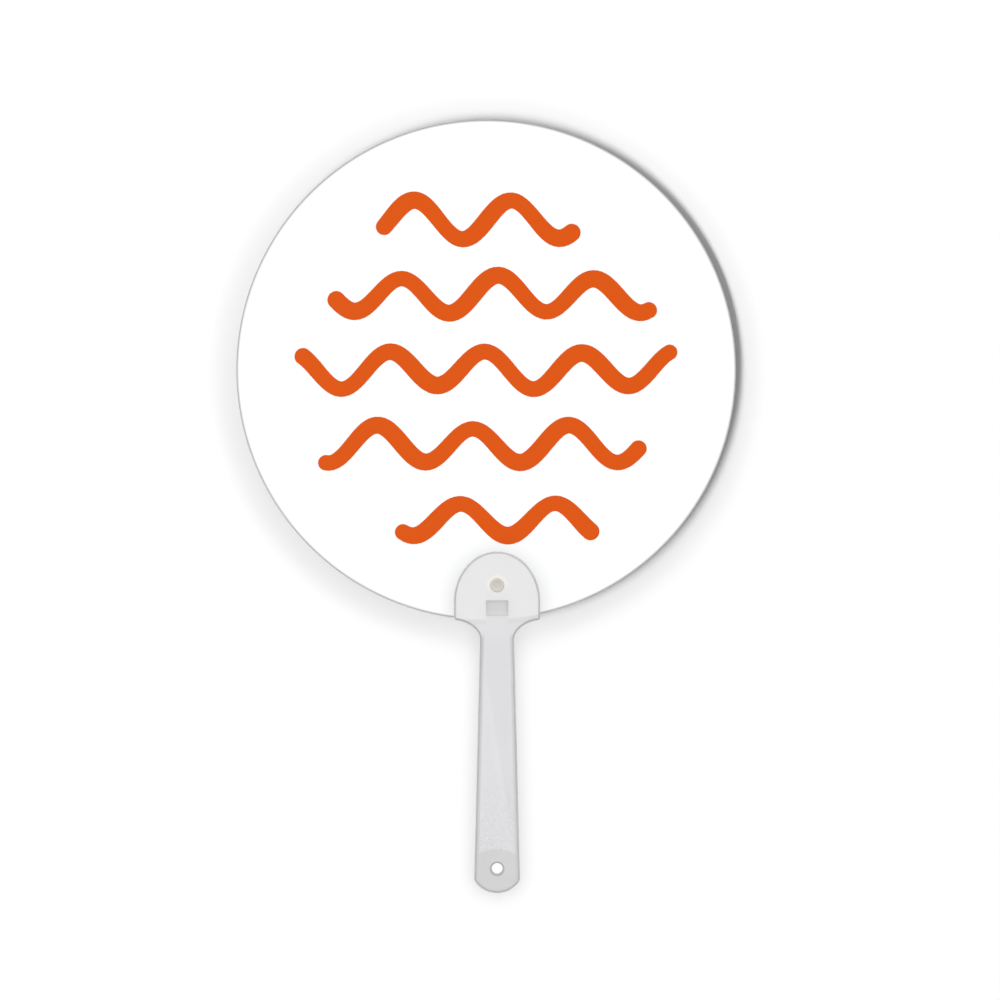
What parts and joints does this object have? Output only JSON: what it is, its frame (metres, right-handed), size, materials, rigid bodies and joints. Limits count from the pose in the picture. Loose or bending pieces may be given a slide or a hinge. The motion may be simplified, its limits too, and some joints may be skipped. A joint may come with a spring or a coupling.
{
  "type": "round hand fan",
  "caption": "Round hand fan: a flat sheet disc held by a clamp plate and a snap rivet in the head of a slim moulded handle with a hang hole.",
  "frame": {"origin": "middle of the fan's length and of its width, on the surface that its back lies on", "axes": "+Y from the handle's end to the top of the blade, +Z out of the front of the blade, +X to the right seen from the front"},
  "size_m": [0.24, 0.371, 0.0051],
  "materials": {
    "blade_sheet": "satin white polypropylene sheet",
    "handle_plastic": "frosted translucent polypropylene",
    "clamp_plastic": "frosted translucent polypropylene",
    "stud_nylon": "warm grey nylon, satin",
    "socket_nylon": "warm grey nylon, satin"
  },
  "bodies": {
    "root": {"blade": "blade_sheet", "handle": "handle_plastic", "rear_clamp_plate": "clamp_plastic", "rivet_stud": "stud_nylon", "rivet_socket": "socket_nylon"}
  },
  "joints": []
}
